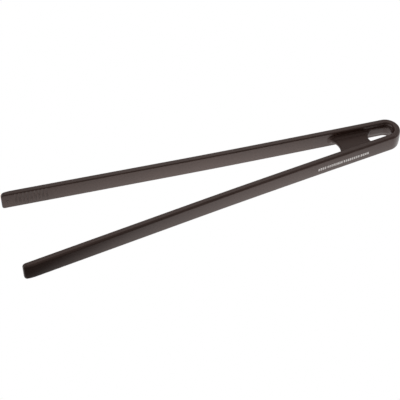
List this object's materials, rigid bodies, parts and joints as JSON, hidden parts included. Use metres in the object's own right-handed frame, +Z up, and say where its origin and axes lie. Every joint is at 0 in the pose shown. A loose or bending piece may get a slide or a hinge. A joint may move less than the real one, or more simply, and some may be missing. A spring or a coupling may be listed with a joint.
{
  "type": "one-piece spring kitchen tongs",
  "caption": "Hairpin serving tongs in dark brown plastic with flexing arms, a recessed web, grooved grip tips and a hanging slot.",
  "frame": {"origin": "centre of the overall box, on the rest face", "axes": "+X from the grip tips to the hanging loop, +Y from the left arm to the right arm, +Z up from the rest face"},
  "size_m": [0.3, 0.073, 0.0138],
  "materials": {
    "moulded_plastic": "semi-gloss moulded, dark brown",
    "pad_print": "matt light grey ink"
  },
  "bodies": {
    "head": {"hanging_loop": "moulded_plastic", "spring_web": "moulded_plastic", "left_shoulder": "moulded_plastic", "right_shoulder": "moulded_plastic"},
    "left_root": {"left_flex_root": "moulded_plastic"},
    "left_mid": {"left_flex_mid": "moulded_plastic"},
    "left_arm": {"left_shank": "moulded_plastic", "left_grip_tip": "moulded_plastic"},
    "right_root": {"right_flex_root": "moulded_plastic"},
    "right_mid": {"right_flex_mid": "moulded_plastic"},
    "right_arm": {"right_shank": "moulded_plastic", "right_grip_tip": "moulded_plastic"}
  },
  "joints": [
    {"name": "left_root_bend", "type": "hinge", "parent": "head", "child": "left_root", "pos_m": [0.07842, -0.01326, 0.0069], "axis": [0, 0, -1], "range_deg": [0, 4.61], "stiffness_Nm_per_rad": 11.9},
    {"name": "left_mid_bend", "type": "hinge", "parent": "left_root", "child": "left_mid", "pos_m": [0.04255, -0.01629, 0.0069], "axis": [0, 0, -1], "range_deg": [0, 3]},
    {"name": "left_arm_bend", "type": "hinge", "parent": "left_mid", "child": "left_arm", "pos_m": [0.00071, -0.01996, 0.0069], "axis": [0, 0, -1], "range_deg": [0, 1.4]},
    {"name": "right_root_bend", "type": "hinge", "parent": "head", "child": "right_root", "pos_m": [0.07842, 0.01326, 0.0069], "axis": [0, 0, 1], "range_deg": [0, 4.61], "stiffness_Nm_per_rad": 11.9},
    {"name": "right_mid_bend", "type": "hinge", "parent": "right_root", "child": "right_mid", "pos_m": [0.04255, 0.01629, 0.0069], "axis": [0, 0, 1], "range_deg": [0, 3]},
    {"name": "right_arm_bend", "type": "hinge", "parent": "right_mid", "child": "right_arm", "pos_m": [0.00071, 0.01996, 0.0069], "axis": [0, 0, 1], "range_deg": [0, 1.4]}
  ],
  "couplings": [
    {"joint": "left_mid_bend", "follows": "left_root_bend", "ratio": 0.65},
    {"joint": "left_arm_bend", "follows": "left_root_bend", "ratio": 0.3},
    {"joint": "right_mid_bend", "follows": "right_root_bend", "ratio": 0.65},
    {"joint": "right_arm_bend", "follows": "right_root_bend", "ratio": 0.3}
  ]
}
